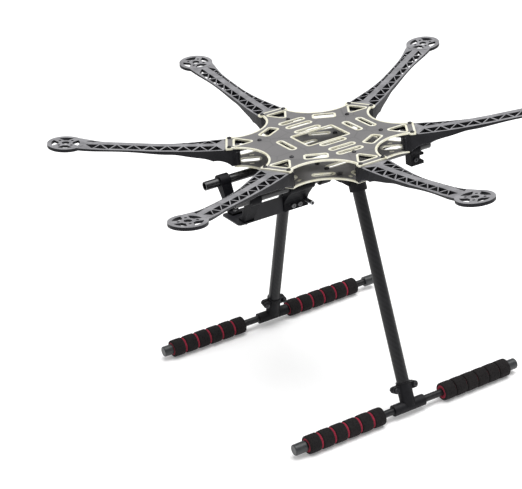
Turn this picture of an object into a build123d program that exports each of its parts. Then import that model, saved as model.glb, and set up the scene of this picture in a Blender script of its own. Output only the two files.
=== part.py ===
"""Hexacopter airframe: two circuit-board plates, six moulded arms, two carbon legs with foam-covered
skids, and a battery tray hung from two rails. Millimetres, +Z up, ground at Z = 0, front towards -Y."""

from build123d import *
from math import cos, radians, sin, sqrt, tan
import os

# ---------------------------------------------------------------- driving dimensions, mm
MOTOR_RADIUS = 275.0  # frame centre to each motor axis
ARM_ANGLES = {
    "arm_right": 0,
    "arm_rear_right": 60,
    "arm_rear_left": 120,
    "arm_left": 180,
    "arm_front_left": 240,
    "arm_front_right": 300,
}
SIDES = {"left": -1, "right": 1}

PLATE_THICKNESS = 1.6
BOTTOM_PLATE_BASE = 261.4
BOTTOM_PLATE_TOP = BOTTOM_PLATE_BASE + PLATE_THICKNESS
TOP_PLATE_BASE = 282.4
TOP_PLATE_TOP = TOP_PLATE_BASE + PLATE_THICKNESS
NOTCH_CENTRE = 115.5  # centre of the round notch between two arms
NOTCH_RADIUS = 42.5
HUB_RADIUS = 92.0
TOP_TIP = 103.0
BOTTOM_TIP = 95.0

PAD_TOP = 300.0  # at the motor axis
PAD_TILT = 5.5  # degrees that each pad rises outwards with its arm
PAD_THICKNESS = 3.6
PAD_SPOKE_THICKNESS = 2.8
PAD_RADIUS = 20.0
PAD_WINDOW_RADIUS = 15.5
PAD_HUB_RADIUS = 7.6
PAD_BORE_RADIUS = 4.2
PAD_SPOKE_WIDTH = 7.4
MOTOR_HOLE_CIRCLE = 19.0
MOTOR_HOLE_RADIUS = 1.6

SCREW_APEX = 66.0  # arm screw nearest the frame centre
TOP_SCREWS = ((SCREW_APEX, 0), (99.0, 14.0), (99.0, -14.0))
BOTTOM_SCREWS = ((91.5, 12.0), (91.5, -12.0))
PLATE_HOLE_RADIUS = 1.4
INSERT_RADIUS = 2.0
INSERT_LENGTH = 5.0
ROOT_FRAME_DEPTH = 4.0  # open V of the arm root, under the top plate
ROOT_BLOCK_START = 88.5  # full-height block that joins both plates
APEX_BOSS_DEPTH = 6.5

LEG_RADIUS = 7.0
LEG_WALL = 1.0
SKID_X = 142.0
FOAM_RADIUS = 10.3
SKID_Z = FOAM_RADIUS  # the foam rests on the ground
LEG_TOP_X = 67.6
LEG_TOP_Z = 250.0
SKID_RADIUS = 4.0
SKID_WALL = 1.0
SKID_SPAN = {"left": (-149.5, 147.0), "right": (-146.0, 145.5)}
TEE_SLEEVE_RADIUS = 6.4
TEE_SLEEVE_LENGTH = 40.0
TEE_SOCKET_RADIUS = 8.3
TEE_SOCKET_TOP = 27.0
TEE_EAR_HEIGHT = 21.0
TEE_EAR_OFFSET = 12.0
TEE_EAR_RADIUS = 3.8
TEE_EAR_THICKNESS = 8.0

CAP_RADIUS = 6.2
CAP_LENGTH = {"front_left": 11.0, "rear_left": 14.0, "front_right": 14.0, "rear_right": 11.0}
CAP_WALL = 1.5
FOAM_CORE_RADIUS = 8.9
FOAM_SEGMENTS = 6
FOAM_SPAN = {
    "front_left": (-139.5, -42.0),
    "rear_left": (21.5, 120.0),
    "front_right": (-131.5, -35.0),
    "rear_right": (44.5, 134.0),
}
FOAM_GROOVE = {"front_left": 2.4, "rear_left": 2.4, "front_right": 2.4, "rear_right": 0.7}

RAIL_X = 32.0
RAIL_Z = 251.0
RAIL_RADIUS = 5.0
RAIL_WALL = 1.0
RAIL_FRONT = -130.0
RAIL_REAR = 120.0
RING_RADIUS = 7.8
FIT_CLEARANCE = 0.02  # glued or clamped tube in its socket
SLIDE_CLEARANCE = 0.06  # ring that slides along a tube
SADDLE_Y = {"front": -20.0, "rear": 45.0}
SADDLE_BOLT_OFFSET = 9.5

TRAY_HALF_WIDTH = 19.0
TRAY_SHEET = 1.5
TRAY_FLOOR = 218.0
TRAY_TOP = 236.5
TRAY_FRONT = -120.0
TRAY_WALL_FRONT = -101.0
TRAY_REAR = -34.5
TRAY_NOTCH_Y = -60.0
TRAY_NOTCH_LENGTH = 24.0
TRAY_NOTCH_DEPTH = 6.5
HANGER_FRONT_Y = -107.0
HANGER_REAR_Y = -40.5
WIDE_HANGER_Y = -49.5
SPARE_HANGER_Y = 98.0
SPARE_HANGER_FOOT = 232.5
SPARE_SCREW_Z = 239.5
HANGER_WIDTH = 12.0
WIDE_HANGER_WIDTH = 30.0
STRAP_THICKNESS = 2.5
CROSS_ROD_Y = -37.5
CROSS_ROD_Z = 226.5
CROSS_ROD_RADIUS = 2.4
CROSS_ROD_BORE = CROSS_ROD_RADIUS + FIT_CLEARANCE
CROSS_ROD_HALF = 36.0
FLOOR_SCREWS = ((11.0, HANGER_FRONT_Y), (-11.0, HANGER_FRONT_Y), (-11.0, HANGER_REAR_Y))
WALL_SCREW_Y = (-53.0, -45.0)
WALL_SCREW_Z = 223.5

BOTTOM_ALIGN = (Align.CENTER, Align.CENTER, Align.MIN)


# ---------------------------------------------------------------- helpers
def arm_point(angle, radial, lateral=0.0):
    """Plan position of a point given along and across an arm."""
    a = radians(angle)
    return (radial * cos(a) - lateral * sin(a), radial * sin(a) + lateral * cos(a))


def cylinder_between(radius, low, high):
    """Upright cylinder from Z = low to Z = high."""
    return Pos(0, 0, low) * Cylinder(radius, high - low, align=BOTTOM_ALIGN)


def y_tube(outer, inner, front, rear, x, z):
    """Tube along Y."""
    frame = Plane(origin=(x, front, z), x_dir=(1, 0, 0), z_dir=(0, 1, 0))
    length = rear - front
    body = Cylinder(outer, length, align=BOTTOM_ALIGN) - Cylinder(inner, length, align=BOTTOM_ALIGN)
    return frame * body


def button_screw(shank_radius, length, head_radius, head_height, socket):
    """Button-head screw: underside of the head at the origin, shank down, hexagon socket on top."""
    head = Cylinder(head_radius, head_height, align=BOTTOM_ALIGN)
    head = fillet(head.faces().sort_by(Axis.Z)[-1].edges(), head_height * 0.6)
    shank = Pos(0, 0, -length) * Cylinder(shank_radius, length, align=BOTTOM_ALIGN)
    recess = Pos(0, 0, head_height * 0.4) * extrude(RegularPolygon(socket, 6), head_height)
    return head + shank - recess


def hex_nut(bore, across_corners_radius, height):
    """Hexagon nut resting on Z = 0."""
    return extrude(RegularPolygon(across_corners_radius, 6) - Circle(bore), height)


def screw_m25(length):
    return button_screw(1.25, length, 2.35, 1.4, 0.9)


def screw_m3(length):
    return button_screw(1.5, length, 2.8, 1.7, 1.2)


def nut_m3():
    return hex_nut(1.52, 3.15, 2.4)


def hex_socket_towards(x_sign):
    """Frame whose Z axis points along +X or -X."""
    return Plane(origin=(0, 0, 0), x_dir=(0, 1, 0), z_dir=(x_sign, 0, 0))


def group(pieces):
    return Compound(children=list(pieces))


# ---------------------------------------------------------------- circuit-board plates
def plate_outline(tip, tab_half_width, ear_half_width):
    """Round hub with a tab to each arm, notched by an arc between neighbouring arms."""
    outline = Circle(HUB_RADIUS)
    for angle in ARM_ANGLES.values():
        tab = Pos(tip / 2, 0) * Rectangle(tip, 2 * tab_half_width)
        outline += Rot(0, 0, angle) * tab
    for angle in ARM_ANGLES.values():
        outline -= Pos(*arm_point(angle + 30, NOTCH_CENTRE)) * Circle(NOTCH_RADIUS)
    for angle in ARM_ANGLES.values():
        ear = Pos(tip - 4, 0) * RectangleRounded(8, 2 * ear_half_width, 2.0)
        outline += Rot(0, 0, angle) * ear
    return outline


def arm_triangle():
    """Rounded triangular window over an arm root, apex towards the frame centre."""
    triangle = Polygon((73.5, 0), (93, 11.5), (93, -11.5), align=None)
    return fillet(triangle.vertices(), 1.8)


def diagonal_windows(centre_x, centre_y, length, width):
    """Four rounded windows, one in each diagonal quarter, long side across the diagonal."""
    windows = Sketch()
    for sx in (-1, 1):
        for sy in (-1, 1):
            tilt = Rot(0, 0, -sx * sy * 60)
            windows += Pos(sx * centre_x, sy * centre_y) * tilt * RectangleRounded(length, width, 2.0)
    return windows


def side_slots(positions, length, width):
    """Pairs of slots that run along Y."""
    slots = Sketch()
    for x in positions:
        for sx in (-1, 1):
            slots += Pos(sx * x, 0) * Rot(0, 0, 90) * SlotOverall(length, width)
    return slots


def screw_holes(points):
    holes = Sketch()
    for angle in ARM_ANGLES.values():
        for radial, lateral in points:
            holes += Pos(*arm_point(angle, radial, lateral)) * Circle(PLATE_HOLE_RADIUS)
    return holes


def make_top_plate():
    sketch = plate_outline(TOP_TIP, 16.5, 18.0)
    sketch -= RectangleRounded(35, 51, 1.5)
    sketch -= side_slots((25.5, 43.3, 58.2), 29, 5.2)
    for y in (60, 42, -43):
        sketch -= Pos(0, y) * SlotOverall(30, 5)
    sketch -= diagonal_windows(48.2, 36.2, 22.5, 10.5)
    for angle in ARM_ANGLES.values():
        sketch -= Rot(0, 0, angle) * arm_triangle()
    sketch -= screw_holes(TOP_SCREWS)
    return extrude(Pos(0, 0, TOP_PLATE_BASE) * sketch, PLATE_THICKNESS)


def saddle_bolt_points():
    return [
        (sx * RAIL_X + offset, y)
        for sx in SIDES.values()
        for y in SADDLE_Y.values()
        for offset in (-SADDLE_BOLT_OFFSET, SADDLE_BOLT_OFFSET)
    ]


def socket_bolt_points():
    return [(sx * 64.0, sy * 18.5) for sx in SIDES.values() for sy in (-1, 1)]


def make_bottom_plate():
    sketch = plate_outline(BOTTOM_TIP, 16.5, 16.2)
    sketch -= RectangleRounded(28, 44, 1.5)
    sketch -= side_slots((38.0,), 33, 5.2)
    for y in (43, -43):
        sketch -= Pos(0, y) * SlotOverall(30, 5)
    sketch -= diagonal_windows(52.0, 31.0, 21.0, 5.2)
    for angle in ARM_ANGLES.values():
        sketch -= Rot(0, 0, angle) * Pos(77.5, 0) * RectangleRounded(21, 10.5, 4.0)
    sketch -= screw_holes(BOTTOM_SCREWS)
    for point in saddle_bolt_points() + socket_bolt_points():
        sketch -= Pos(*point) * Circle(1.6)
    return extrude(Pos(0, 0, BOTTOM_PLATE_BASE) * sketch, PLATE_THICKNESS)


# ---------------------------------------------------------------- moulded arm, drawn along +X
# distance out, half width, drop from spine to edge, depth below the spine
ARM_STATIONS = (
    (103.0, 17.0, 0.1, 19.4),
    (108.0, 16.9, 0.2, 18.5),
    (116.0, 16.3, 0.7, 14.0),
    (130.0, 15.0, 1.6, 10.0),
    (147.0, 13.2, 2.5, 8.3),
    (167.0, 11.5, 3.2, 7.2),
    (190.0, 10.7, 3.5, 6.4),
    (215.0, 10.8, 3.5, 5.6),
    (238.0, 12.2, 3.0, 5.3),
    (252.0, 14.2, 1.4, 4.2),
    (262.0, 15.2, 0.1, 2.9),
)
SPINE_HALF_WIDTH = 3.4
WALL = 1.6
ROOT_ARCH_RADIUS = 22.0
ROOT_ARCH_CENTRE = (114.0, 248.5)
TRUSS_START = 113.0
TRUSS_PITCH = 8.9
TRUSS_COUNT = 16
TRUSS_HALF_BASE = 7.0


def spine_height(distance):
    """Top of the arm's spine, which sweeps up from the plate and meets the tilted motor pad."""
    run = distance - TOP_TIP
    pad_height = PAD_TOP + (distance - MOTOR_RADIUS) * tan(radians(PAD_TILT))
    return min(TOP_PLATE_BASE + 0.0595 * run + 0.000363 * run**2, pad_height - 0.1)


def half_width(distance):
    """Arm half width, linear between stations."""
    for (d0, w0, _, _), (d1, w1, _, _) in zip(ARM_STATIONS, ARM_STATIONS[1:]):
        if distance <= d1:
            return w0 + (w1 - w0) * (distance - d0) / (d1 - d0)
    return ARM_STATIONS[-1][1]


def section(distance, points):
    """Closed cross-section of the arm at one distance, from (lateral, height) points."""
    return make_face(Polyline(*[(distance, y, z) for y, z in points], close=True))


def arm_beam():
    """Ridged beam from the plates' edge to the motor pad."""
    sections = []
    for distance, width, drop, depth in ARM_STATIONS:
        top = spine_height(distance)
        half = [(SPINE_HALF_WIDTH, top), (width, top - drop), (width, top - depth)]
        mirrored = [(-y, z) for y, z in reversed(half)]
        sections.append(section(distance, mirrored + half))
    return loft(sections)


def truss_holes():
    """Alternating triangles through the beam on both sides of its spine, with full-depth ribs between."""
    inner = SPINE_HALF_WIDTH + 0.4
    holes = Sketch()
    for index in range(TRUSS_COUNT):
        centre = TRUSS_START + TRUSS_PITCH * index
        outer = half_width(centre) - WALL - 0.2
        base, tip = (outer, inner) if index % 2 == 0 else (inner, outer)
        for side in (-1, 1):
            holes += Polygon(
                (centre - TRUSS_HALF_BASE, side * base),
                (centre + TRUSS_HALF_BASE, side * base),
                (centre, side * tip),
                align=None,
            )
    return extrude(Pos(0, 0, TOP_PLATE_TOP) * holes, 30, both=True)


def arm_root():
    """Open V under the top plate, on a full-height block at the plates' edge."""
    wedge = Polygon((63, -4.6), (97, -17), (103.2, -17), (103.2, 17), (97, 17), (63, 4.6), align=None)
    window = Polygon((71, -3.4), (93, -11.8), (93, 11.8), (71, 3.4), align=None)
    window = fillet(window.vertices(), 1.2)
    block = wedge - Pos(ROOT_BLOCK_START / 2, 0) * Rectangle(ROOT_BLOCK_START, 60)
    for point in BOTTOM_SCREWS:
        block += Pos(*point) * Circle(3.4)
    frame_base = TOP_PLATE_BASE - ROOT_FRAME_DEPTH
    root = extrude(Pos(0, 0, BOTTOM_PLATE_TOP) * block, frame_base - BOTTOM_PLATE_TOP)
    vee = wedge + Pos(SCREW_APEX, 0) * Circle(5.0) - window
    root += extrude(Pos(0, 0, frame_base) * vee, ROOT_FRAME_DEPTH)
    root += Pos(SCREW_APEX, 0) * cylinder_between(4.0, TOP_PLATE_BASE - APEX_BOSS_DEPTH, TOP_PLATE_BASE)
    return root


PAD_FRAME = Pos(MOTOR_RADIUS, 0, PAD_TOP) * Rot(0, -PAD_TILT, 0)  # origin on the pad's top, Z out of it


def motor_pad():
    """Ring with a bored hub on four thinner spokes, set diagonally to the arm."""
    ring = Circle(PAD_RADIUS) - Circle(PAD_WINDOW_RADIUS)
    spokes = Circle(PAD_HUB_RADIUS)
    for angle in (45, 135):
        spokes += Rot(0, 0, angle) * Rectangle(2 * PAD_WINDOW_RADIUS + 2, PAD_SPOKE_WIDTH)
    spokes -= Circle(PAD_BORE_RADIUS)
    for angle in (45, 135, 225, 315):
        spokes -= Pos(*arm_point(angle, MOTOR_HOLE_CIRCLE / 2)) * Circle(MOTOR_HOLE_RADIUS)
    pad = extrude(ring, -PAD_THICKNESS)
    pad += extrude(spokes, -PAD_SPOKE_THICKNESS)
    return PAD_FRAME * pad


def make_arm():
    beam = arm_beam() - truss_holes()
    beam -= PAD_FRAME * cylinder_between(PAD_WINDOW_RADIUS, -20, 10)
    arm = arm_root() + beam + motor_pad()
    arch_frame = Plane(origin=(ROOT_ARCH_CENTRE[0], -30, ROOT_ARCH_CENTRE[1]), z_dir=(0, 1, 0))
    arm -= arch_frame * Cylinder(ROOT_ARCH_RADIUS, 60, align=BOTTOM_ALIGN)
    depth = INSERT_LENGTH + 0.5
    pocket = Cylinder(INSERT_RADIUS + FIT_CLEARANCE, depth, align=BOTTOM_ALIGN)
    for point in TOP_SCREWS:
        arm -= Pos(*point, TOP_PLATE_BASE - depth) * pocket
    for point in BOTTOM_SCREWS:
        arm -= Pos(*point, BOTTOM_PLATE_TOP) * pocket
    return arm


def thread_inserts():
    """Brass inserts moulded into the arm roots for the plate screws."""
    sleeve = Cylinder(INSERT_RADIUS, INSERT_LENGTH, align=BOTTOM_ALIGN)
    sleeve -= Cylinder(1.27, INSERT_LENGTH, align=BOTTOM_ALIGN)
    for angle in ARM_ANGLES.values():
        for point in TOP_SCREWS:
            yield Pos(*arm_point(angle, *point), TOP_PLATE_BASE - INSERT_LENGTH) * sleeve
        for point in BOTTOM_SCREWS:
            yield Pos(*arm_point(angle, *point), BOTTOM_PLATE_TOP) * sleeve


def plate_screws(points, height, flip):
    """Screws of each arm, heads up or heads down."""
    screw = Rot(180 if flip else 0, 0, 0) * screw_m25(6)
    for angle in ARM_ANGLES.values():
        for point in points:
            yield Pos(*arm_point(angle, *point), height) * screw


# ---------------------------------------------------------------- legs and skids
def leg_frame(side):
    """Frame at the skid axis, Z up the leg, Y along the skid."""
    direction = Vector(side * (LEG_TOP_X - SKID_X), 0, LEG_TOP_Z - SKID_Z)
    return Plane(origin=(side * SKID_X, 0, SKID_Z), x_dir=(0, side, 0), z_dir=direction)


LEG_LENGTH_TO_SOCKET = sqrt((SKID_X - LEG_TOP_X) ** 2 + (LEG_TOP_Z - SKID_Z) ** 2)
LEG_START = 9.0


def make_leg_tube(side):
    length = LEG_LENGTH_TO_SOCKET - LEG_START
    tube = Cylinder(LEG_RADIUS, length, align=BOTTOM_ALIGN)
    tube -= Cylinder(LEG_RADIUS - LEG_WALL, length, align=BOTTOM_ALIGN)
    return leg_frame(side) * (Pos(0, 0, LEG_START) * tube)


def make_leg_socket(side):
    """Angled socket under the bottom plate, with a bolted flange and a rib to each bolt."""
    flange_thickness = 3.6
    flange = Pos(side * 64, 0) * RectangleRounded(25, 48, 6)
    body = extrude(Pos(0, 0, BOTTOM_PLATE_BASE - flange_thickness) * flange, flange_thickness)
    sleeve = cylinder_between(9.6, LEG_LENGTH_TO_SOCKET - 9, LEG_LENGTH_TO_SOCKET + 16)
    body += leg_frame(side) * sleeve
    rib_base = BOTTOM_PLATE_BASE - flange_thickness
    rib = Polygon((-23, rib_base), (23, rib_base), (9, rib_base - 11), (-9, rib_base - 11), align=None)
    body += extrude(Plane(origin=(side * 65.5, 0, 0), x_dir=(0, 1, 0), z_dir=(1, 0, 0)) * rib, 3, both=True)
    body -= Pos(side * 64, 0, BOTTOM_PLATE_BASE) * Box(120, 120, 60, align=BOTTOM_ALIGN)
    bore = cylinder_between(LEG_RADIUS + FIT_CLEARANCE, 0, LEG_LENGTH_TO_SOCKET + 0.1)
    body -= leg_frame(side) * bore
    for sy in (-1, 1):
        at = Pos(side * 64, sy * 18.5)
        body -= at * cylinder_between(1.6, 240, BOTTOM_PLATE_BASE)
        body -= at * cylinder_between(3.4, 240, rib_base)
    return body


def socket_bolts():
    rib_base = BOTTOM_PLATE_BASE - 3.6
    for x, y in socket_bolt_points():
        yield Pos(x, y, rib_base) * Rot(180, 0, 0) * screw_m3(8)


def socket_nuts():
    for x, y in socket_bolt_points():
        yield Pos(x, y, BOTTOM_PLATE_TOP) * nut_m3()


def tee_ear_frame(offset, direction, out=0.0):
    """Frame on the screw axis of a tee ear, Z through the ear, at a distance out from its middle."""
    return Plane(origin=(offset, direction * out, TEE_EAR_HEIGHT), x_dir=(1, 0, 0), z_dir=(0, direction, 0))


def make_tee(side):
    """Tee that holds the skid tube across the foot of a leg, with pinch ears front and rear."""
    sleeve = cylinder_between(TEE_SLEEVE_RADIUS, -TEE_SLEEVE_LENGTH / 2, TEE_SLEEVE_LENGTH / 2)
    along_skid = Plane(origin=(0, 0, 0), x_dir=(0, 0, 1), z_dir=(1, 0, 0))
    tee = along_skid * sleeve
    tee += cylinder_between(TEE_SOCKET_RADIUS, 0, TEE_SOCKET_TOP)
    tee += Pos(0, 0, TEE_EAR_HEIGHT) * Box(2 * TEE_EAR_OFFSET, TEE_EAR_THICKNESS, 2 * TEE_EAR_RADIUS)
    for offset in (-TEE_EAR_OFFSET, TEE_EAR_OFFSET):
        tee += tee_ear_frame(offset, 1) * Cylinder(TEE_EAR_RADIUS, TEE_EAR_THICKNESS)
    slit_length = 2 * (TEE_EAR_OFFSET + TEE_EAR_RADIUS + 1)
    slit_base = TEE_EAR_HEIGHT - TEE_EAR_RADIUS - 2
    tee -= Pos(0, 0, slit_base) * Box(slit_length, 1.2, TEE_SOCKET_TOP - slit_base + 1, align=BOTTOM_ALIGN)
    tee -= cylinder_between(LEG_RADIUS + FIT_CLEARANCE, LEG_START - 0.1, TEE_SOCKET_TOP + 1)
    tee -= along_skid * cylinder_between(SKID_RADIUS + FIT_CLEARANCE, -30, 30)
    for offset in (-TEE_EAR_OFFSET, TEE_EAR_OFFSET):
        tee -= tee_ear_frame(offset, 1) * Cylinder(1.6, 2 * TEE_EAR_THICKNESS)
    return leg_frame(side) * tee


def tee_fasteners(nuts):
    """Pinch screws through the tee ears, heads outwards, or their nuts."""
    for side in SIDES.values():
        for offset in (-TEE_EAR_OFFSET, TEE_EAR_OFFSET):
            if nuts:
                yield leg_frame(side) * (tee_ear_frame(offset, 1, TEE_EAR_THICKNESS / 2) * nut_m3())
            else:
                yield leg_frame(side) * (tee_ear_frame(offset, -1, TEE_EAR_THICKNESS / 2) * screw_m3(11))


def make_skid_tube(name):
    front, rear = SKID_SPAN[name]
    return y_tube(SKID_RADIUS, SKID_RADIUS - SKID_WALL, front, rear, SIDES[name] * SKID_X, SKID_Z)


def make_skid_cap(name, end):
    """Rubber cap pushed over one end of a skid tube."""
    length = CAP_LENGTH[f"{end}_{name}"]
    tip = SKID_SPAN[name][0 if end == "front" else 1]
    outwards = -1 if end == "front" else 1
    cup = Cylinder(CAP_RADIUS, length, align=BOTTOM_ALIGN)
    cup = fillet(cup.faces().sort_by(Axis.Z)[-1].edges(), 1.4)
    cup -= Cylinder(SKID_RADIUS + FIT_CLEARANCE, length - CAP_WALL, align=BOTTOM_ALIGN)
    start = tip - outwards * (length - CAP_WALL)
    place = Plane(origin=(SIDES[name] * SKID_X, start, SKID_Z), x_dir=(1, 0, 0), z_dir=(0, outwards, 0))
    return place * cup


def make_foam_core(place):
    side = SIDES[place.split("_")[1]]
    front, rear = FOAM_SPAN[place]
    return y_tube(FOAM_CORE_RADIUS, SKID_RADIUS + SLIDE_CLEARANCE, front, rear, side * SKID_X, SKID_Z)


def foam_rings(place):
    """Black outer foam, cut by grooves down to the red core."""
    side = SIDES[place.split("_")[1]]
    front, rear = FOAM_SPAN[place]
    groove = FOAM_GROOVE[place]
    width = (rear - front - groove * (FOAM_SEGMENTS - 1)) / FOAM_SEGMENTS
    for index in range(FOAM_SEGMENTS):
        start = front + index * (width + groove)
        ring = Cylinder(FOAM_RADIUS, width, align=BOTTOM_ALIGN)
        ring = fillet(ring.edges().filter_by(GeomType.CIRCLE), 0.8)
        ring -= Cylinder(FOAM_CORE_RADIUS, width, align=BOTTOM_ALIGN)
        frame = Plane(origin=(side * SKID_X, start, SKID_Z), x_dir=(1, 0, 0), z_dir=(0, 1, 0))
        yield frame * ring


# ---------------------------------------------------------------- rails, saddles and tray
def make_rail(side):
    return y_tube(RAIL_RADIUS, RAIL_RADIUS - RAIL_WALL, RAIL_FRONT, RAIL_REAR, side * RAIL_X, RAIL_Z)


def xz_profile(points):
    """Closed outline in the XZ plane at Y = 0."""
    return make_face(Polyline(*[(x, 0, z) for x, z in points], close=True))


def across(profile, centre_y, width):
    """Profile in the XZ plane, extruded to a width about a place along Y."""
    return Pos(0, centre_y, 0) * extrude(profile, width / 2, both=True)


def rail_ring(width, centre_y, clearance):
    """Solid ring about the right-hand rail and the bore that it gets."""
    half = width / 2
    ring = y_tube(RING_RADIUS, 1.0, centre_y - half, centre_y + half, RAIL_X, RAIL_Z)
    bore_frame = Plane(origin=(RAIL_X, centre_y - half - 1, RAIL_Z), x_dir=(1, 0, 0), z_dir=(0, 1, 0))
    bore = bore_frame * Cylinder(RAIL_RADIUS + clearance, width + 2, align=BOTTOM_ALIGN)
    return ring, bore


def handed(shape, side):
    """Right-hand shape, or its mirror image for the left."""
    return shape if side > 0 else mirror(shape, about=Plane.YZ)


def make_saddle(side, y):
    """Block that hangs a rail under the bottom plate on two bolts."""
    foot = Pos(RAIL_X, y, BOTTOM_PLATE_BASE - 3) * Box(28, HANGER_WIDTH, 3, align=BOTTOM_ALIGN)
    foot = fillet(foot.edges().filter_by(Axis.Z), 2.5)
    neck_low = RAIL_Z + 2
    neck = Pos(RAIL_X, y, neck_low) * Box(11, HANGER_WIDTH, BOTTOM_PLATE_BASE - neck_low, align=BOTTOM_ALIGN)
    ring, bore = rail_ring(HANGER_WIDTH, y, FIT_CLEARANCE)
    body = foot + neck + ring - bore
    for offset in (-SADDLE_BOLT_OFFSET, SADDLE_BOLT_OFFSET):
        body -= Pos(RAIL_X + offset, y) * cylinder_between(1.6, 240, 270)
    return handed(body, side)


def saddle_bolts():
    for x, y in saddle_bolt_points():
        yield Pos(x, y, BOTTOM_PLATE_TOP) * screw_m3(8)


def saddle_nuts():
    for x, y in saddle_bolt_points():
        yield Pos(x, y, BOTTOM_PLATE_BASE - 3 - 2.4) * nut_m3()


def make_tray():
    """Floor with a lip reaching forwards, one upstand on the right and a strap notch on the left."""
    floor = Pos(0, (TRAY_FRONT + TRAY_REAR) / 2) * Rectangle(2 * TRAY_HALF_WIDTH, TRAY_REAR - TRAY_FRONT)
    floor = fillet(floor.vertices().sort_by(Axis.Y)[:2], 4.0)
    notch = RectangleRounded(2 * TRAY_NOTCH_DEPTH, TRAY_NOTCH_LENGTH, 1.5)
    floor -= Pos(-TRAY_HALF_WIDTH, TRAY_NOTCH_Y) * notch
    tray = extrude(Pos(0, 0, TRAY_FLOOR) * floor, TRAY_SHEET)
    wall = Pos(TRAY_HALF_WIDTH - TRAY_SHEET / 2, (TRAY_REAR + TRAY_WALL_FRONT) / 2, TRAY_FLOOR) * Box(
        TRAY_SHEET, TRAY_REAR - TRAY_WALL_FRONT, TRAY_TOP - TRAY_FLOOR, align=BOTTOM_ALIGN
    )
    tray += wall
    for point in FLOOR_SCREWS:
        tray -= Pos(*point) * cylinder_between(1.6, TRAY_FLOOR - 1, TRAY_FLOOR + 3)
    for y in WALL_SCREW_Y:
        tray -= along_x(y, WALL_SCREW_Z, 10) * Cylinder(1.6, 20, align=BOTTOM_ALIGN)
    tray -= along_x(CROSS_ROD_Y, CROSS_ROD_Z, 10) * Cylinder(CROSS_ROD_BORE, 20, align=BOTTOM_ALIGN)
    return tray


def along_x(y, z, x):
    """Frame at a point, its Z axis along +X."""
    return Plane(origin=(x, y, z), x_dir=(0, 1, 0), z_dir=(1, 0, 0))


def make_floor_hanger(side, y):
    """Ring on a rail with a slanted strap down to a foot on the tray floor."""
    deck = TRAY_FLOOR + TRAY_SHEET
    foot_top = deck + STRAP_THICKNESS
    foot = ((14, foot_top), (6.5, foot_top), (6.5, deck), (17, deck))
    strap = xz_profile(foot + ((19.5, deck + 3), (36.5, RAIL_Z - 5), (25, RAIL_Z)))
    ring, bore = rail_ring(HANGER_WIDTH, y, SLIDE_CLEARANCE)
    body = across(strap, y, HANGER_WIDTH) + ring - bore
    body -= Pos(11, y) * cylinder_between(1.6, deck - 1, foot_top + 1)
    if y == HANGER_REAR_Y:
        body -= along_x(CROSS_ROD_Y, CROSS_ROD_Z, 5) * Cylinder(CROSS_ROD_BORE, 30, align=BOTTOM_ALIGN)
    return handed(body, side)


def make_wall_hanger():
    """Wide ring and strap that bolts to the tray's upstand and carries the cross rod."""
    inner = TRAY_HALF_WIDTH
    outer = inner + STRAP_THICKNESS
    low = TRAY_FLOOR + 1
    foot = ((inner, low), (outer, low), (outer, low + 9), (outer + 3, low + 14))
    strap = xz_profile(foot + ((36.5, RAIL_Z - 5), (25, RAIL_Z), (inner, 234)))
    ring, bore = rail_ring(WIDE_HANGER_WIDTH, WIDE_HANGER_Y, SLIDE_CLEARANCE)
    body = across(strap, WIDE_HANGER_Y, WIDE_HANGER_WIDTH) + ring - bore
    for y in WALL_SCREW_Y:
        body -= along_x(y, WALL_SCREW_Z, 10) * Cylinder(1.6, 20, align=BOTTOM_ALIGN)
    body -= along_x(CROSS_ROD_Y, CROSS_ROD_Z, 10) * Cylinder(CROSS_ROD_BORE, 20, align=BOTTOM_ALIGN)
    return body


def make_spare_hanger(side):
    """Short block hung free at the rear of a rail, with a foot and a lip, pinched by one cross screw."""
    y = SPARE_HANGER_Y
    low = SPARE_HANGER_FOOT
    ring, bore = rail_ring(HANGER_WIDTH, y, SLIDE_CLEARANCE)
    block = Pos(RAIL_X, y, low) * Box(11, HANGER_WIDTH, RAIL_Z - low, align=BOTTOM_ALIGN)
    foot = Pos(RAIL_X, y + 3, low) * Box(11, HANGER_WIDTH + 6, 3, align=BOTTOM_ALIGN)
    foot = fillet(foot.edges().filter_by(Axis.Z), 2.0)
    lip = Pos(RAIL_X, y + HANGER_WIDTH / 2, RAIL_Z - 8.6) * Box(9, 12, 2.6, align=BOTTOM_ALIGN)
    body = block + foot + lip + ring - bore
    body -= along_x(y, SPARE_SCREW_Z, 20) * Cylinder(1.55, 30, align=BOTTOM_ALIGN)
    return handed(body, side)


def spare_hanger_bolt(side):
    """Pinch screw with its head outwards, and the nut on its inner end."""
    head = along_x(SPARE_HANGER_Y, SPARE_SCREW_Z, RAIL_X + 5.5) * screw_m3(14)
    nut = Pos(RAIL_X - 5.5, SPARE_HANGER_Y, SPARE_SCREW_Z) * (hex_socket_towards(-1) * nut_m3())
    return [handed(head, side), handed(nut, side)]


def make_cross_rod():
    length = 2 * CROSS_ROD_HALF
    rod = Cylinder(CROSS_ROD_RADIUS, length, align=BOTTOM_ALIGN)
    rod -= Cylinder(CROSS_ROD_RADIUS - 1.0, length, align=BOTTOM_ALIGN)
    return along_x(CROSS_ROD_Y, CROSS_ROD_Z, -CROSS_ROD_HALF) * rod


def tray_screws():
    for x, y in FLOOR_SCREWS:
        yield Pos(x, y, TRAY_FLOOR + TRAY_SHEET + STRAP_THICKNESS) * screw_m3(8)
    for y in WALL_SCREW_Y:
        yield along_x(y, WALL_SCREW_Z, TRAY_HALF_WIDTH + STRAP_THICKNESS) * screw_m3(8)


def tray_nuts():
    for x, y in FLOOR_SCREWS:
        yield Pos(x, y, TRAY_FLOOR - 2.4) * nut_m3()
    for y in WALL_SCREW_Y:
        yield Pos(TRAY_HALF_WIDTH - TRAY_SHEET, y, WALL_SCREW_Z) * (hex_socket_towards(-1) * nut_m3())


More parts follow.
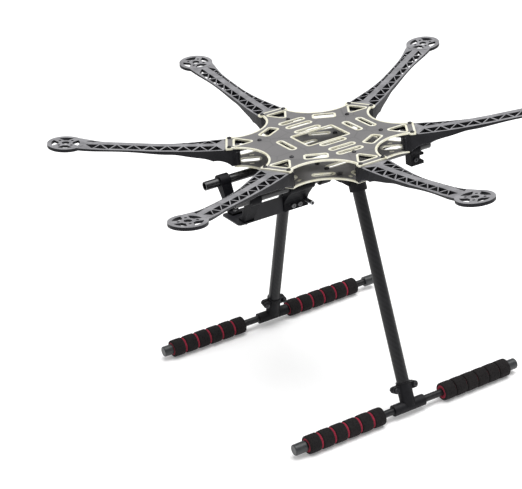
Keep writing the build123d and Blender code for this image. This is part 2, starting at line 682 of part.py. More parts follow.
# ---------------------------------------------------------------- the nodes
def all_parts():
    parts = {"top_plate": make_top_plate(), "bottom_plate": make_bottom_plate()}
    arm = make_arm()
    for name, angle in ARM_ANGLES.items():
        parts[name] = Rot(0, 0, angle) * arm
    parts["arm_thread_inserts"] = group(thread_inserts())
    parts["top_plate_screws"] = group(plate_screws(TOP_SCREWS, TOP_PLATE_TOP, False))
    parts["bottom_plate_screws"] = group(plate_screws(BOTTOM_SCREWS, BOTTOM_PLATE_BASE, True))
    parts["leg_socket_bolts"] = group(socket_bolts())
    parts["leg_socket_nuts"] = group(socket_nuts())
    parts["leg_tee_screws"] = group(tee_fasteners(nuts=False))
    parts["leg_tee_nuts"] = group(tee_fasteners(nuts=True))
    parts["rail_saddle_bolts"] = group(saddle_bolts())
    parts["rail_saddle_nuts"] = group(saddle_nuts())
    for name, side in SIDES.items():
        parts[f"leg_socket_{name}"] = make_leg_socket(side)
        parts[f"leg_tube_{name}"] = make_leg_tube(side)
        parts[f"leg_tee_{name}"] = make_tee(side)
        parts[f"skid_tube_{name}"] = make_skid_tube(name)
        parts[f"rail_tube_{name}"] = make_rail(side)
        parts[f"tray_hanger_front_{name}"] = make_floor_hanger(side, HANGER_FRONT_Y)
        parts[f"spare_hanger_{name}"] = make_spare_hanger(side)
        parts[f"spare_hanger_bolt_{name}"] = group(spare_hanger_bolt(side))
        for end, y in SADDLE_Y.items():
            parts[f"rail_saddle_{end}_{name}"] = make_saddle(side, y)
            parts[f"skid_cap_{end}_{name}"] = make_skid_cap(name, end)
    for place in FOAM_SPAN:
        parts[f"foam_core_{place}"] = make_foam_core(place)
        parts[f"foam_rings_{place}"] = group(foam_rings(place))
    parts["tray_hanger_rear_left"] = make_floor_hanger(SIDES["left"], HANGER_REAR_Y)
    parts["tray_hanger_rear_right"] = make_wall_hanger()
    parts["battery_tray"] = make_tray()
    parts["tray_cross_rod"] = make_cross_rod()
    parts["tray_screws"] = group(tray_screws())
    parts["tray_nuts"] = group(tray_nuts())
    return parts


os.makedirs("parts", exist_ok=True)
for node, shape in all_parts().items():
    export_step(shape, f"parts/{node}.step")
    print(node, len(shape.solids()), "solid(s)", round(sum(s.volume for s in shape.solids())), "mm3")
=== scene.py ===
"""Hexacopter airframe: looks, light and camera over the fixed CAD frame. Metres, +Z up."""
from math import cos, pi, radians, sin

import bmesh
import bpy
from mathutils import Matrix, Vector, noise


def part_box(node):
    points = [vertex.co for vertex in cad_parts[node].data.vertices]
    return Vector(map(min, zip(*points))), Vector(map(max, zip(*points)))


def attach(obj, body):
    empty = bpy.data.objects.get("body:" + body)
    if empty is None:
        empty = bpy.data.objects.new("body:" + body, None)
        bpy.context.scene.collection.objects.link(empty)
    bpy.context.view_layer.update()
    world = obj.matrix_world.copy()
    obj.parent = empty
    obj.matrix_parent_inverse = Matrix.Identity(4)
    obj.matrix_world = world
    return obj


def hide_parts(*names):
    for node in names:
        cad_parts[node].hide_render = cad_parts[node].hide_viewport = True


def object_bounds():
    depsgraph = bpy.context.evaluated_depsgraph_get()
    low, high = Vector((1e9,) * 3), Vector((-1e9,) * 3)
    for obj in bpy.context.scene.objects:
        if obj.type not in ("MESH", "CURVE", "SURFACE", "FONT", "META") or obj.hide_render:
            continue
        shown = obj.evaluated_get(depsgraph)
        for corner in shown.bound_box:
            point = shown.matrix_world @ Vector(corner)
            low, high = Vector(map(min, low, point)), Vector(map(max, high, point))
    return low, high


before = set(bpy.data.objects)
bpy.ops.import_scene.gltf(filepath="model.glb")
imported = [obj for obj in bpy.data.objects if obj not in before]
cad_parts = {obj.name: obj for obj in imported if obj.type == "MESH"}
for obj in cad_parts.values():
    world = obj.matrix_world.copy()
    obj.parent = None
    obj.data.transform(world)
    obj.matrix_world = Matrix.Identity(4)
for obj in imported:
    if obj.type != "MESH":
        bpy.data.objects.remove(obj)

cad_low, cad_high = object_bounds()

MM = 0.001
PLACES = ("front_left", "rear_left", "front_right", "rear_right")
ARMS = ("arm_right", "arm_rear_right", "arm_rear_left", "arm_left", "arm_front_left", "arm_front_right")

CARBON_TOW = 1.6 * MM  # width of one tow in the tubes' cloth
GLASS_TOW = 0.55 * MM  # width of one tow in the boards' cloth
RAIL_RADIUS, SKID_RADIUS, LEG_RADIUS = 5 * MM, 4 * MM, 7 * MM
LEG_RUN, LEG_RISE = 74.4 * MM, 239 * MM  # how far a leg leans outwards over its height

PLATING_WIDTH = 2.3 * MM
PLATING_SKIN = 0.04 * MM  # how far plating stands out of the board
PLATING_SUNK = 0.15 * MM  # how deep it is bedded in the board's edge
SMALLEST_PLATED = 4 * MM  # holes smaller than this are left bare
PAD_LENGTH, PAD_WIDTH = 5 * MM, 3 * MM
ROOT_PADS = ((76 * MM, -12.5 * MM), (76 * MM, 12.5 * MM))  # (radius, offset) beside each arm root

SEGMENTS = 6  # of a foam sleeve
FOAM_SINK = 0.25 * MM  # how far the foam's surface lies inside the CAD sleeve
FOAM_WALL = 2.4 * MM
FOAM_CORNER = 1.4 * MM  # radius of a segment's outer corners
FOAM_SLOPE = 0.6 * MM  # width of the slanted ring inside each corner
FOAM_TAPER = 0.2 * MM  # how much shorter a segment is at its bore
FOAM_CROWN = 0.15 * MM  # swell of a segment between its corners
GROOVE_OPEN, GROOVE_CLOSED = 2.4 * MM, 0.7 * MM
LINING_BORE = 4.3 * MM  # radius
LINING_SINK = 2.0 * MM  # how far the lining's face lies under the foam's surface
LINING_RISE = 0.7 * MM  # how far the lining swells into an open groove
LINING_SHORT = 0.3 * MM  # how far the lining stops inside each end
FOAM_WOBBLE, LINING_WOBBLE = 0.12 * MM, 0.08 * MM  # unevenness of the lathed surfaces
COARSE, FINE = 90, 420  # noise cells to a metre in that unevenness
AROUND = 72  # steps round a lathed ring

LIT_POINT = (0, 0, 0.2)  # both lamps face it


# ---------------------------------------------------------------- shader helpers
class Nodes:
    """Short way to write a material's node tree."""

    def __init__(self, name):
        self.material = bpy.data.materials.new(name)
        self.material.use_nodes = True
        self.tree = self.material.node_tree
        self.tree.nodes.clear()
        output = self.tree.nodes.new("ShaderNodeOutputMaterial")
        self.shader = self.tree.nodes.new("ShaderNodeBsdfPrincipled")
        self.tree.links.new(self.shader.outputs["BSDF"], output.inputs["Surface"])
        self.coords = self.tree.nodes.new("ShaderNodeTexCoord").outputs["Object"]

    def link(self, value, socket):
        """Joins a socket to an input, or writes a plain value there."""
        if isinstance(value, bpy.types.NodeSocket):
            self.tree.links.new(value, socket)
        else:
            socket.default_value = value

    def set(self, **values):
        """Fills the shader's own sockets, named with underscores for spaces."""
        for key, value in values.items():
            self.link(value, self.shader.inputs[key.replace("_", " ")])

    def math(self, operation, *values):
        node = self.tree.nodes.new("ShaderNodeMath")
        node.operation = operation
        for index, value in enumerate(values):
            self.link(value, node.inputs[index])
        return node.outputs[0]

    def vector(self, operation, *values):
        node = self.tree.nodes.new("ShaderNodeVectorMath")
        node.operation = operation
        for index, value in enumerate(values):
            self.link(value, node.inputs[index])
        return node.outputs["Value" if operation == "DOT_PRODUCT" else "Vector"]

    def split(self, vector):
        node = self.tree.nodes.new("ShaderNodeSeparateXYZ")
        self.link(vector, node.inputs[0])
        return node.outputs

    def join(self, x, y, z):
        node = self.tree.nodes.new("ShaderNodeCombineXYZ")
        for index, value in enumerate((x, y, z)):
            self.link(value, node.inputs[index])
        return node.outputs[0]

    def noise(self, scale, detail, rough, vector=None, distortion=0.0):
        node = self.tree.nodes.new("ShaderNodeTexNoise")
        self.link(self.coords if vector is None else vector, node.inputs["Vector"])
        node.inputs["Scale"].default_value = scale
        node.inputs["Detail"].default_value = detail
        node.inputs["Roughness"].default_value = rough
        node.inputs["Distortion"].default_value = distortion
        return node.outputs["Fac"]

    def cells(self, scale, feature="F1"):
        node = self.tree.nodes.new("ShaderNodeTexVoronoi")
        node.feature = feature
        self.link(self.coords, node.inputs["Vector"])
        node.inputs["Scale"].default_value = scale
        return node.outputs["Distance"]

    def ramp(self, value, low, high, to_low=0.0, to_high=1.0):
        """The value eased from one range to another, and held at its ends."""
        node = self.tree.nodes.new("ShaderNodeMapRange")
        node.interpolation_type = "SMOOTHSTEP"
        self.link(value, node.inputs["Value"])
        for key, number in (("From Min", low), ("From Max", high), ("To Min", to_low), ("To Max", to_high)):
            node.inputs[key].default_value = number
        return node.outputs["Result"]

    def mix(self, factor, first, second):
        """Blend of two colours, each a tuple or a socket."""
        node = self.tree.nodes.new("ShaderNodeMix")
        node.data_type = "RGBA"
        self.link(factor, node.inputs["Factor"])
        sockets = [socket for socket in node.inputs if socket.type == "RGBA"]
        for colour, socket in zip((first, second), sockets):
            self.link((*colour, 1.0) if isinstance(colour, tuple) else colour, socket)
        return next(socket for socket in node.outputs if socket.type == "RGBA")

    def bump(self, height, strength, distance, normal=None):
        node = self.tree.nodes.new("ShaderNodeBump")
        node.inputs["Strength"].default_value = strength
        node.inputs["Distance"].default_value = distance
        self.link(height, node.inputs["Height"])
        if normal is not None:
            self.link(normal, node.inputs["Normal"])
        return node.outputs["Normal"]

    def wear(self, width, low, high):
        """0 on flat surfaces and 1 along sharp edges, from rounded normals."""
        bevel = self.tree.nodes.new("ShaderNodeBevel")
        bevel.samples = 4
        bevel.inputs["Radius"].default_value = width
        geometry = self.tree.nodes.new("ShaderNodeNewGeometry")
        facing = self.vector("DOT_PRODUCT", bevel.outputs["Normal"], geometry.outputs["Normal"])
        return self.ramp(self.math("SUBTRACT", 1.0, facing), low, high)

    def dust_and_sheen_mask(self):
        """0 on walls and undersides and 1 on level tops, broken up: where dust settles and a painted sheen
        of the overhead lamp lies.
        """
        facing = self.split(self.tree.nodes.new("ShaderNodeNewGeometry").outputs["Normal"])[2]
        patches = self.ramp(self.noise(75, 5, 0.62, distortion=0.5), 0.3, 0.72, 0.62, 1.0)
        return self.math("MULTIPLY", self.ramp(facing, 0.35, 0.9), patches)


def weave_pattern(nodes, u, v, tow):
    """Two-by-two twill of tows: (1 where the warp is on top, height of the cloth)."""
    across = nodes.math("DIVIDE", u, tow)
    along = nodes.math("DIVIDE", v, tow)
    step = nodes.math("ADD", nodes.math("FLOOR", across), nodes.math("FLOOR", along))
    warp = nodes.math("LESS_THAN", nodes.math("FLOORED_MODULO", step, 4.0), 1.5)
    round_u = nodes.math("ABSOLUTE", nodes.math("SINE", nodes.math("MULTIPLY", across, pi)))
    round_v = nodes.math("ABSOLUTE", nodes.math("SINE", nodes.math("MULTIPLY", along, pi)))
    height = nodes.math(
        "ADD",
        nodes.math("MULTIPLY", warp, round_u),
        nodes.math("MULTIPLY", nodes.math("SUBTRACT", 1.0, warp), round_v),
    )
    return warp, height


# ---------------------------------------------------------------- materials
def carbon_tube(name, origin, axis, radius, gloss=0.12):
    """Resin-coated carbon cloth wound round a tube with this axis."""
    nodes = Nodes(name)
    axis = Vector(axis).normalized()
    side = axis.orthogonal().normalized()
    up = axis.cross(side)
    place = nodes.vector("SUBTRACT", nodes.coords, tuple(origin))
    along = nodes.vector("DOT_PRODUCT", place, tuple(axis))
    beside = nodes.vector("DOT_PRODUCT", place, tuple(side))
    above = nodes.vector("DOT_PRODUCT", place, tuple(up))
    turn = nodes.math("ARCTAN2", above, beside)
    tows = 4 * round(2 * pi * radius / CARBON_TOW / 4)  # whole repeats of the twill, so that it meets itself
    around = nodes.math("MULTIPLY", turn, tows * CARBON_TOW / (2 * pi))
    warp, height = weave_pattern(nodes, around, along, CARBON_TOW)
    streak = nodes.noise(900, 3, 0.6, nodes.join(nodes.math("MULTIPLY", around, 6.0), along, 0.0))
    cloth = nodes.mix(warp, (0.0055, 0.0055, 0.0065), (0.0105, 0.0105, 0.012))
    cloth = nodes.mix(nodes.ramp(streak, 0.35, 0.8, 0.0, 0.5), cloth, (0.014, 0.014, 0.0155))
    dust = nodes.ramp(nodes.noise(60, 5, 0.6), 0.55, 0.8, 0.0, 0.10)
    rough = nodes.ramp(streak, 0.3, 0.7, 0.30, 0.42)
    nodes.set(
        Base_Color=nodes.mix(dust, cloth, (0.07, 0.07, 0.07)),
        Roughness=nodes.math("ADD", nodes.math("MULTIPLY", warp, 0.08), rough),
        Normal=nodes.bump(height, 0.14, 0.00010, nodes.bump(streak, 0.10, 0.0001)),
        Specular_IOR_Level=0.22,
        Coat_Weight=gloss,
        Coat_Roughness=0.16,
    )
    return nodes.material


def moulded(name, dark, light, top_dust_and_sheen, grain, rough, worn=0.25, shine=0.15):
    """Glass-filled nylon: fine mould grain, flow marks, paler worn edges with a painted highlight, and level
    tops paled by dust and a painted sheen.
    """
    nodes = Nodes(name)
    fine = nodes.noise(grain, 3, 0.6)
    broad = nodes.noise(55, 4, 0.55, distortion=0.6)
    fibre = nodes.noise(520, 2, 0.5, nodes.vector("MULTIPLY", nodes.coords, (1.0, 1.0, 3.0)))
    edges = nodes.wear(0.0009, 0.03, 0.3)
    tone = nodes.mix(nodes.ramp(broad, 0.3, 0.72), dark, light)
    tone = nodes.mix(nodes.ramp(fibre, 0.55, 0.8, 0.0, 0.3), tone, tuple(1.5 * c for c in light))
    # Level tops turn paler: dust, and a painted sheen of the overhead lamp.
    tone = nodes.mix(nodes.dust_and_sheen_mask(), tone, top_dust_and_sheen)
    # Edges turn paler still: wear, and a painted highlight ridge along them.
    tone = nodes.mix(nodes.math("MULTIPLY", edges, worn), tone, tuple(min(1.0, 1.5 * c) for c in top_dust_and_sheen))
    speckle = nodes.ramp(fine, 0.3, 0.7, rough - 0.07, rough + 0.08)
    nodes.set(
        Base_Color=tone,
        Roughness=nodes.math("SUBTRACT", speckle, nodes.math("MULTIPLY", edges, 0.08)),
        Normal=nodes.bump(fine, 0.35, 0.00009, nodes.bump(broad, 0.15, 0.0004)),
        Specular_IOR_Level=shine,
    )
    return nodes.material


def circuit_board(name):
    """Black solder mask over glass cloth, with a faint copper pour beneath."""
    nodes = Nodes(name)
    x, y, _ = nodes.split(nodes.coords)
    warp, height = weave_pattern(nodes, x, y, GLASS_TOW)
    pour = nodes.ramp(nodes.cells(34, feature="DISTANCE_TO_EDGE"), 0.018, 0.026)
    haze = nodes.noise(22, 5, 0.6, distortion=0.4)
    fine = nodes.noise(1500, 2, 0.5)
    tone = nodes.mix(pour, (0.096, 0.094, 0.094), (0.123, 0.119, 0.120))
    tone = nodes.mix(nodes.ramp(haze, 0.35, 0.75, 0.0, 0.55), tone, (0.158, 0.154, 0.155))
    tone = nodes.mix(nodes.math("MULTIPLY", warp, 0.12), tone, (0.18, 0.175, 0.18))
    relief = nodes.bump(pour, 0.3, 0.00004, nodes.bump(fine, 0.1, 0.00004))
    nodes.set(
        Base_Color=tone,
        Roughness=nodes.ramp(haze, 0.3, 0.7, 0.36, 0.46),
        Normal=nodes.bump(height, 0.14, 0.00004, relief),
        Specular_IOR_Level=0.5,
    )
    return nodes.material


def plated_edge(name):
    """Tinned copper pads and bare laminate edges, cream with a soft metallic gloss."""
    nodes = Nodes(name)
    haze = nodes.noise(140, 4, 0.6)
    fine = nodes.noise(1400, 2, 0.5)
    tone = nodes.mix(nodes.ramp(haze, 0.3, 0.7), (0.71, 0.68, 0.51), (0.80, 0.79, 0.69))
    nodes.set(
        Base_Color=nodes.mix(nodes.ramp(fine, 0.6, 0.8, 0.0, 0.4), tone, (0.56, 0.51, 0.34)),
        Metallic=0.25,
        Roughness=nodes.ramp(haze, 0.3, 0.7, 0.28, 0.42),
        Normal=nodes.bump(fine, 0.2, 0.00005),
    )
    return nodes.material


def foam(name, dark, light, depth):
    """Closed-cell foam: open pores, crumbs and a faint skin sheen."""
    nodes = Nodes(name)
    pores = nodes.cells(620)
    crumbs = nodes.noise(372, 4, 0.65)
    patch = nodes.noise(70, 4, 0.6)
    tone = nodes.mix(nodes.ramp(pores, 0.05, 0.55), dark, light)
    tone = nodes.mix(nodes.ramp(patch, 0.35, 0.75, 0.0, 0.45), tone, tuple(1.45 * c for c in light))
    rise = nodes.math("ADD", pores, nodes.math("MULTIPLY", crumbs, 0.8))
    nodes.set(
        Base_Color=tone,
        Roughness=nodes.ramp(crumbs, 0.3, 0.7, 0.78, 0.95),
        Normal=nodes.bump(rise, 0.55, depth),
        Specular_IOR_Level=0.1,
        Sheen_Weight=0.03,
    )
    return nodes.material


def metal(name, dark, light, rough, worn=0.3):
    """Machined or plated steel with turning marks and rubbed edges."""
    nodes = Nodes(name)
    scratch = nodes.noise(700, 3, 0.6, nodes.vector("MULTIPLY", nodes.coords, (1.0, 1.0, 5.0)))
    haze = nodes.noise(160, 4, 0.6)
    edges = nodes.wear(0.0004, 0.02, 0.25)
    tone = nodes.mix(nodes.ramp(haze, 0.3, 0.7), dark, light)
    rubbed = tuple(min(0.95, 2.2 * c) for c in light)
    nodes.set(
        Base_Color=nodes.mix(nodes.math("MULTIPLY", edges, worn), tone, rubbed),
        Metallic=0.95,
        Roughness=nodes.ramp(scratch, 0.3, 0.7, rough - 0.07, rough + 0.1),
        Normal=nodes.bump(scratch, 0.15, 0.00004),
    )
    return nodes.material


def rubber(name):
    """Glossy black rubber with patches of dust."""
    nodes = Nodes(name)
    fine = nodes.noise(900, 3, 0.6)
    dust = nodes.ramp(nodes.noise(90, 5, 0.65), 0.5, 0.8, 0.0, 0.5)
    nodes.set(
        Base_Color=nodes.mix(dust, (0.020, 0.022, 0.024), (0.052, 0.054, 0.056)),
        Roughness=nodes.ramp(fine, 0.3, 0.7, 0.30, 0.42),
        Normal=nodes.bump(fine, 0.2, 0.00005),
        Specular_IOR_Level=0.5,
    )
    return nodes.material


def sheet_plastic(name):
    """Tray sheet: satin black with fine rubbed scratches and paler cut edges."""
    nodes = Nodes(name)
    x, y, z = nodes.split(nodes.coords)
    lengthwise = nodes.join(nodes.math("MULTIPLY", x, 9.0), y, nodes.math("MULTIPLY", z, 9.0))
    scratch = nodes.noise(240, 4, 0.65, lengthwise)
    broad = nodes.noise(40, 4, 0.5)
    edges = nodes.wear(0.0006, 0.03, 0.3)
    tone = nodes.mix(nodes.ramp(broad, 0.3, 0.7), (0.011, 0.011, 0.013), (0.020, 0.020, 0.023))
    tone = nodes.mix(nodes.ramp(scratch, 0.62, 0.8, 0.0, 0.4), tone, (0.045, 0.045, 0.048))
    nodes.set(
        Base_Color=nodes.mix(nodes.math("MULTIPLY", edges, 0.5), tone, (0.09, 0.09, 0.094)),
        Roughness=nodes.ramp(scratch, 0.3, 0.8, 0.34, 0.5),
        Normal=nodes.bump(scratch, 0.12, 0.00006),
        Specular_IOR_Level=0.22,
    )
    return nodes.material


def paint(names, material):
    """Gives CAD nodes a material without touching their meshes."""
    for name in names:
        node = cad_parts[name]
        for slot in node.material_slots:
            slot.link = "OBJECT"
            slot.material = material


def both(*stems):
    return [f"{stem}_{side}" for stem in stems for side in ("left", "right")]


ARM_NYLON = moulded(
    "arm_nylon",
    dark=(0.009, 0.009, 0.011),
    light=(0.015, 0.015, 0.018),
    # level tops: dust and a painted sheen of the overhead lamp
    top_dust_and_sheen=(0.243, 0.241, 0.252),
    grain=1500,
    rough=0.46,
    # edges: wear and a painted highlight ridge
    worn=0.45,
    shine=0.14,
)
CLAMP_NYLON = moulded(
    "clamp_nylon",
    dark=(0.004, 0.004, 0.005),
    light=(0.009, 0.009, 0.011),
    top_dust_and_sheen=(0.020, 0.020, 0.022),
    grain=1200,
    rough=0.5,
)
# A darker, duller copy of the clamp nylon: painted shade on the tray and spare hangers.
SHADED_HANGER_NYLON = moulded(
    "hanger_nylon_painted_shade",
    dark=(0.003, 0.003, 0.004),
    light=(0.006, 0.006, 0.0075),
    top_dust_and_sheen=(0.016, 0.016, 0.018),
    grain=1200,
    rough=0.5,
    shine=0.07,
)
BOARD = circuit_board("circuit_board_black")
PLATED = plated_edge("plated_edge")
FOAM_BLACK = foam("foam_black", (0.004, 0.0035, 0.0035), (0.014, 0.0125, 0.013), 0.0005)
FOAM_RED = foam("foam_red", (0.10, 0.006, 0.014), (0.26, 0.021, 0.042), 0.0004)
BLACK_STEEL = metal("black_steel", (0.03, 0.03, 0.032), (0.07, 0.07, 0.075), 0.34)
DULL_STEEL = metal("dull_steel", (0.09, 0.09, 0.095), (0.17, 0.17, 0.175), 0.4, worn=0.15)
BRIGHT_STEEL = metal("bright_steel", (0.30, 0.30, 0.32), (0.48, 0.48, 0.49), 0.28)
BRASS = metal("insert_brass", (0.62, 0.42, 0.16), (0.78, 0.58, 0.27), 0.3)
CAP_RUBBER = rubber("cap_rubber")
TRAY_SHEET = sheet_plastic("tray_sheet")

paint(ARMS, ARM_NYLON)
paint(("top_plate", "bottom_plate"), BOARD)
paint(both("leg_socket", "leg_tee", "rail_saddle_front", "rail_saddle_rear"), CLAMP_NYLON)
paint(both("tray_hanger_front", "tray_hanger_rear", "spare_hanger"), SHADED_HANGER_NYLON)
paint(both("skid_cap_front", "skid_cap_rear"), CAP_RUBBER)
paint(("top_plate_screws", "bottom_plate_screws", "leg_tee_screws", "leg_tee_nuts"), BLACK_STEEL)
paint(("rail_saddle_bolts", "rail_saddle_nuts", *both("spare_hanger_bolt")), BLACK_STEEL)
paint(("leg_socket_bolts", "leg_socket_nuts", "tray_screws", "tray_nuts"), DULL_STEEL)
paint(("tray_cross_rod",), BRIGHT_STEEL)
paint(("arm_thread_inserts",), BRASS)
paint(("battery_tray",), TRAY_SHEET)


def middle(node):
    """Centre of a CAD node's box."""
    low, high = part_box(node)
    return (low + high) / 2


def paint_tubes(side, inwards):
    """Carbon cloth laid along each tube of one side; legs rise towards the plates, which lie inwards."""
    rail, skid, leg = (middle(f"{stem}_{side}") for stem in ("rail_tube", "skid_tube", "leg_tube"))
    lean = (inwards * LEG_RUN, 0, LEG_RISE)
    paint([f"rail_tube_{side}"], carbon_tube(f"carbon_rail_{side}", rail, (0, 1, 0), RAIL_RADIUS, gloss=0.6))
    paint([f"skid_tube_{side}"], carbon_tube(f"carbon_skid_{side}", skid, (0, 1, 0), SKID_RADIUS))
    paint([f"leg_tube_{side}"], carbon_tube(f"carbon_leg_{side}", leg, lean, LEG_RADIUS))


paint_tubes("left", 1)
paint_tubes("right", -1)


# ---------------------------------------------------------------- pieces
def piece(name, mesh, material, body, smooth=False):
    """Object made from a bmesh, with its material and body."""
    bmesh.ops.recalc_face_normals(mesh, faces=mesh.faces)
    data = bpy.data.meshes.new(name)
    mesh.to_mesh(data)
    mesh.free()
    data.materials.append(material)
    for polygon in data.polygons:
        polygon.use_smooth = smooth
    made = bpy.data.objects.new(name, data)
    bpy.context.scene.collection.objects.link(made)
    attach(made, body)
    return made


# ---------------------------------------------------------------- plated edges of the two boards
def face_loops(node, top):
    """Closed outlines of a board's upper face, each with the board on its left."""
    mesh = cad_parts[node].data
    points = {}
    half_edges = {}  # a dict keeps the mesh's order, so that each run gives the same loops
    for polygon in mesh.polygons:
        if polygon.normal.z < 0.9 or abs(polygon.center.z - top) > 1e-5:
            continue
        keys = []
        for index in polygon.vertices:
            co = mesh.vertices[index].co
            key = (round(co.x * 1e6), round(co.y * 1e6))
            points[key] = Vector((co.x, co.y))
            keys.append(key)
        for first, second in zip(keys, keys[1:] + keys[:1]):
            half_edges[(first, second)] = True
    following = {a: b for a, b in half_edges if (b, a) not in half_edges}
    loops = []
    while following:
        start, step = following.popitem()
        loop = [start]
        while step != start:
            loop.append(step)
            step = following.pop(step)
        loops.append([points[key] for key in loop])
    return loops


def inset(loop, distance):
    """The loop moved to its left by a distance, with mitred corners."""
    moved = []
    count = len(loop)
    for index in range(count):
        before, here, after = loop[index - 1], loop[index], loop[(index + 1) % count]
        first, second = (here - before).normalized(), (after - here).normalized()
        left_a, left_b = Vector((-first.y, first.x)), Vector((-second.y, second.x))
        mitre = (left_a + left_b) / max(0.35, 1 + left_a.dot(left_b))
        moved.append(here + mitre * distance)
    return moved


def settle(loop, moved):
    """Draws together the moved points whose stretch of the loop turned back on itself."""
    for _ in range(12):
        turned = False
        count = len(loop)
        for index in range(count):
            after = (index + 1) % count
            if (loop[after] - loop[index]).dot(moved[after] - moved[index]) < 0:
                moved[index] = moved[after] = (moved[index] + moved[after]) / 2
                turned = True
        if not turned:
            break
    return moved


def solder_pads(mesh, top, points):
    """Thin tinned pads on a board's upper face, at (radius, offset) from each arm's centre line."""
    size = Matrix.Diagonal((PAD_LENGTH, PAD_WIDTH, PLATING_SKIN + PLATING_SUNK, 1.0))
    for step in range(len(ARMS)):
        turn = Matrix.Rotation(2 * pi * step / len(ARMS), 4, "Z")
        for radius, offset in points:
            place = turn @ Matrix.Translation((radius, offset, top + (PLATING_SKIN - PLATING_SUNK) / 2))
            bmesh.ops.create_cube(mesh, size=1.0, matrix=place @ size)


def plated_band(node, pads=()):
    """Thin plating round every cut-out and the outline: over both faces and down the cut edge."""
    low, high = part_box(node)
    mesh = bmesh.new()
    for loop in face_loops(node, high.z):
        spread = max((point - loop[0]).length for point in loop)
        if spread < SMALLEST_PLATED:
            continue
        outside = inset(loop, -PLATING_SKIN)
        inside = settle(loop, inset(loop, PLATING_WIDTH))
        buried = inset(loop, PLATING_SUNK)
        profile = (
            (inside, high.z + PLATING_SKIN),
            (outside, high.z + PLATING_SKIN),
            (outside, low.z - PLATING_SKIN),
            (inside, low.z - PLATING_SKIN),
            (inside, low.z + PLATING_SKIN),
            (buried, low.z + PLATING_SKIN),
            (buried, high.z - PLATING_SKIN),
            (inside, high.z - PLATING_SKIN),
        )
        rings = [[mesh.verts.new((p.x, p.y, z)) for p in path] for path, z in profile]
        count = len(loop)
        for ring, following in zip(rings, rings[1:] + rings[:1]):
            for index in range(count):
                after = (index + 1) % count
                mesh.faces.new((ring[index], following[index], following[after], ring[after]))
    solder_pads(mesh, high.z, pads)
    piece(f"{node}_plating", mesh, PLATED, "frame")


plated_band("top_plate")
plated_band("bottom_plate", ROOT_PADS)


# ---------------------------------------------------------------- foam sleeves
def lathe(mesh, profile, centre, wobble, seed):
    """Closed ring swept round Y from (radius, y) points, its surface moved a little by noise."""
    rings = []
    for index in range(AROUND):
        angle = 2 * pi * index / AROUND
        direction = Vector((cos(angle), 0, sin(angle)))
        ring = []
        for radius, y in profile:
            spot = Vector((direction.x * radius, y, direction.z * radius))
            push = noise.noise((spot + Vector((seed, 0, 0))) * COARSE) * wobble
            push += noise.noise((spot + Vector((0, seed, 0))) * FINE) * wobble * 0.5
            ring.append(mesh.verts.new(centre + direction * (radius + push) + Vector((0, y, 0))))
        rings.append(ring)
    count = len(profile)
    for ring, following in zip(rings, rings[1:] + rings[:1]):
        for index in range(count):
            after = (index + 1) % count
            mesh.faces.new((ring[index], ring[after], following[after], following[index]))


def segment_profile(inner, outer, low, high):
    """Outline of one foam segment: rounded shoulders, slightly crowned between them."""
    shoulder = outer - FOAM_CORNER
    straight = high - low - 2 * FOAM_CORNER
    points = [(inner, low + FOAM_TAPER), (shoulder - FOAM_SLOPE, low)]
    for step in range(6):
        turn = pi / 2 * step / 5
        points.append((shoulder + FOAM_CORNER * sin(turn), low + FOAM_CORNER * (1 - cos(turn))))
    for step in range(1, 8):
        share = step / 8
        points.append((outer + FOAM_CROWN * sin(pi * share), low + FOAM_CORNER + straight * share))
    for step in range(6):
        turn = pi / 2 * (1 - step / 5)
        points.append((shoulder + FOAM_CORNER * sin(turn), high - FOAM_CORNER * (1 - cos(turn))))
    points += [(shoulder - FOAM_SLOPE, high), (inner, high - FOAM_TAPER)]
    return points


def foam_skin(low, high, centre, outer, groove, seed):
    """Row of black foam segments along Y, with a groove between each two."""
    pitch = (high - low + groove) / SEGMENTS
    mesh = bmesh.new()
    for index in range(SEGMENTS):
        start = low + index * pitch
        profile = segment_profile(outer - FOAM_WALL, outer, start, start + pitch - groove)
        lathe(mesh, profile, centre, FOAM_WOBBLE, seed + index)
    return mesh


def foam_core(low, high, centre, outer, groove, rise, seed):
    """Red tube under the segments, swelling into each groove by the rise."""
    pitch = (high - low + groove) / SEGMENTS
    face = outer - LINING_SINK
    first, last = low + LINING_SHORT, high - LINING_SHORT
    profile = [(LINING_BORE, first), (face, first)]
    for index in range(1, SEGMENTS):
        groove_y = low + index * pitch - groove / 2
        for step in range(7):
            share = step / 6
            profile.append((face + rise * (0.5 + sin(pi * share)), groove_y + (share - 0.5) * 1.3 * groove))
    profile += [(face, last), (LINING_BORE, last)]
    mesh = bmesh.new()
    lathe(mesh, profile, centre, LINING_WOBBLE, seed + 20)
    return mesh


def foam_sleeve(place, seed, closed):
    """Black grooved sleeve and its red core, in the space of the CAD foam."""
    rings, core, body = f"foam_rings_{place}", f"foam_core_{place}", f"foam_{place}"
    low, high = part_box(rings)
    centre = Vector(((low.x + high.x) / 2, 0, (low.z + high.z) / 2))
    outer = (high.x - low.x) / 2 - FOAM_SINK
    groove, rise = (GROOVE_CLOSED, 0.0) if closed else (GROOVE_OPEN, LINING_RISE)
    black = foam_skin(low.y, high.y, centre, outer, groove, seed)
    skin = piece(f"foam_sleeve_{place}", black, FOAM_BLACK, body, smooth=True)
    red = foam_core(low.y, high.y, centre, outer, groove, rise, seed)
    lining = piece(f"foam_lining_{place}", red, FOAM_RED, body, smooth=True)
    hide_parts(rings)
    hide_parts(core)


for number, place in enumerate(PLACES):
    foam_sleeve(place, 3.0 + 31.7 * number, closed=place == "rear_right")


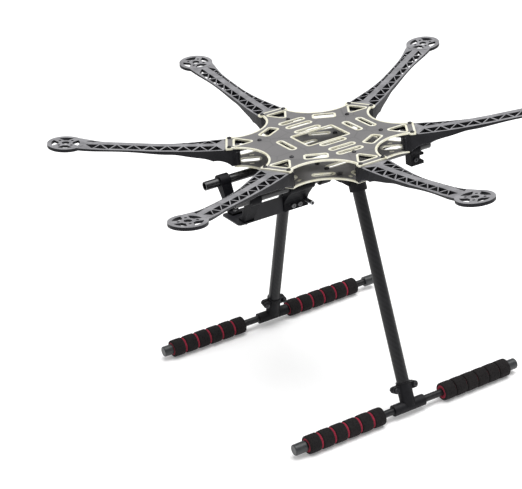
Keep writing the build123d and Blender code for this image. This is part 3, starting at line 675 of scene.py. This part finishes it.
# ---------------------------------------------------------------- floor, light and camera
def floor():
    """Pale studio floor just under the feet."""
    nodes = Nodes("studio_floor")
    haze = nodes.noise(3.0, 3, 0.5)
    nodes.set(
        Base_Color=nodes.mix(haze, (0.93, 0.93, 0.93), (0.96, 0.96, 0.96)),
        Roughness=0.9,
        Specular_IOR_Level=0.1,
        Emission_Color=(1.0, 1.0, 1.0, 1.0),
        Emission_Strength=0.14,
    )
    bpy.ops.mesh.primitive_plane_add(size=60, location=(0, 0, cad_low.z - 0.0002))
    ground = bpy.context.object
    ground.name = "studio_floor"
    ground.data.materials.append(nodes.material)


def soft_light(name, place, size, power):
    """Square lamp facing the lit point."""
    data = bpy.data.lights.new(name, "AREA")
    data.shape = "SQUARE"
    data.size = size
    data.energy = power
    lamp = bpy.data.objects.new(name, data)
    bpy.context.scene.collection.objects.link(lamp)
    lamp.location = place
    lamp.rotation_mode = "QUATERNION"
    lamp.rotation_quaternion = (Vector(LIT_POINT) - Vector(place)).to_track_quat("-Z", "Y")


def studio():
    """White surroundings, a soft lamp overhead and a weaker one on the left."""
    world = bpy.data.worlds.new("studio")
    world.use_nodes = True
    background = world.node_tree.nodes["Background"]
    background.inputs["Color"].default_value = (1.0, 1.0, 1.0, 1.0)
    background.inputs["Strength"].default_value = 0.5
    bpy.context.scene.world = world
    soft_light("key_overhead", (0.3, 0.4, 2.4), 2.2, 72)
    soft_light("side_left", (-1.6, -1.6, 1.5), 1.2, 10)
    view = bpy.context.scene.view_settings
    view.view_transform = "Standard"
    view.look = "None"
    view.exposure = 0.0
    view.gamma = 1.0


def camera():
    """Long lens from the front right, a little above, with the horizon slightly tilted."""
    azimuth, elevation, roll = radians(60.047), radians(24.616), radians(-4.819)
    distance, across, rise = 1.902932, -0.042867, 0.002839
    aim = Vector((0, 0, 0.15))
    back = Vector((sin(azimuth) * cos(elevation), -cos(azimuth) * cos(elevation), sin(elevation)))
    right = Vector((cos(azimuth), sin(azimuth), 0))
    up = back.cross(right)
    right, up = cos(roll) * right + sin(roll) * up, cos(roll) * up - sin(roll) * right
    data = bpy.data.cameras.new("camera")
    data.sensor_width = 36.0
    data.lens = 117.406276
    data.shift_x = -1 / 18  # the photo is cropped off its centre
    data.clip_start, data.clip_end = 0.05, 200
    made = bpy.data.objects.new("camera", data)
    bpy.context.scene.collection.objects.link(made)
    place = aim + distance * back + across * right + rise * up
    made.matrix_world = Matrix.Translation(place) @ Matrix((right, up, back)).transposed().to_4x4()
    bpy.context.scene.camera = made


floor()
studio()
camera()
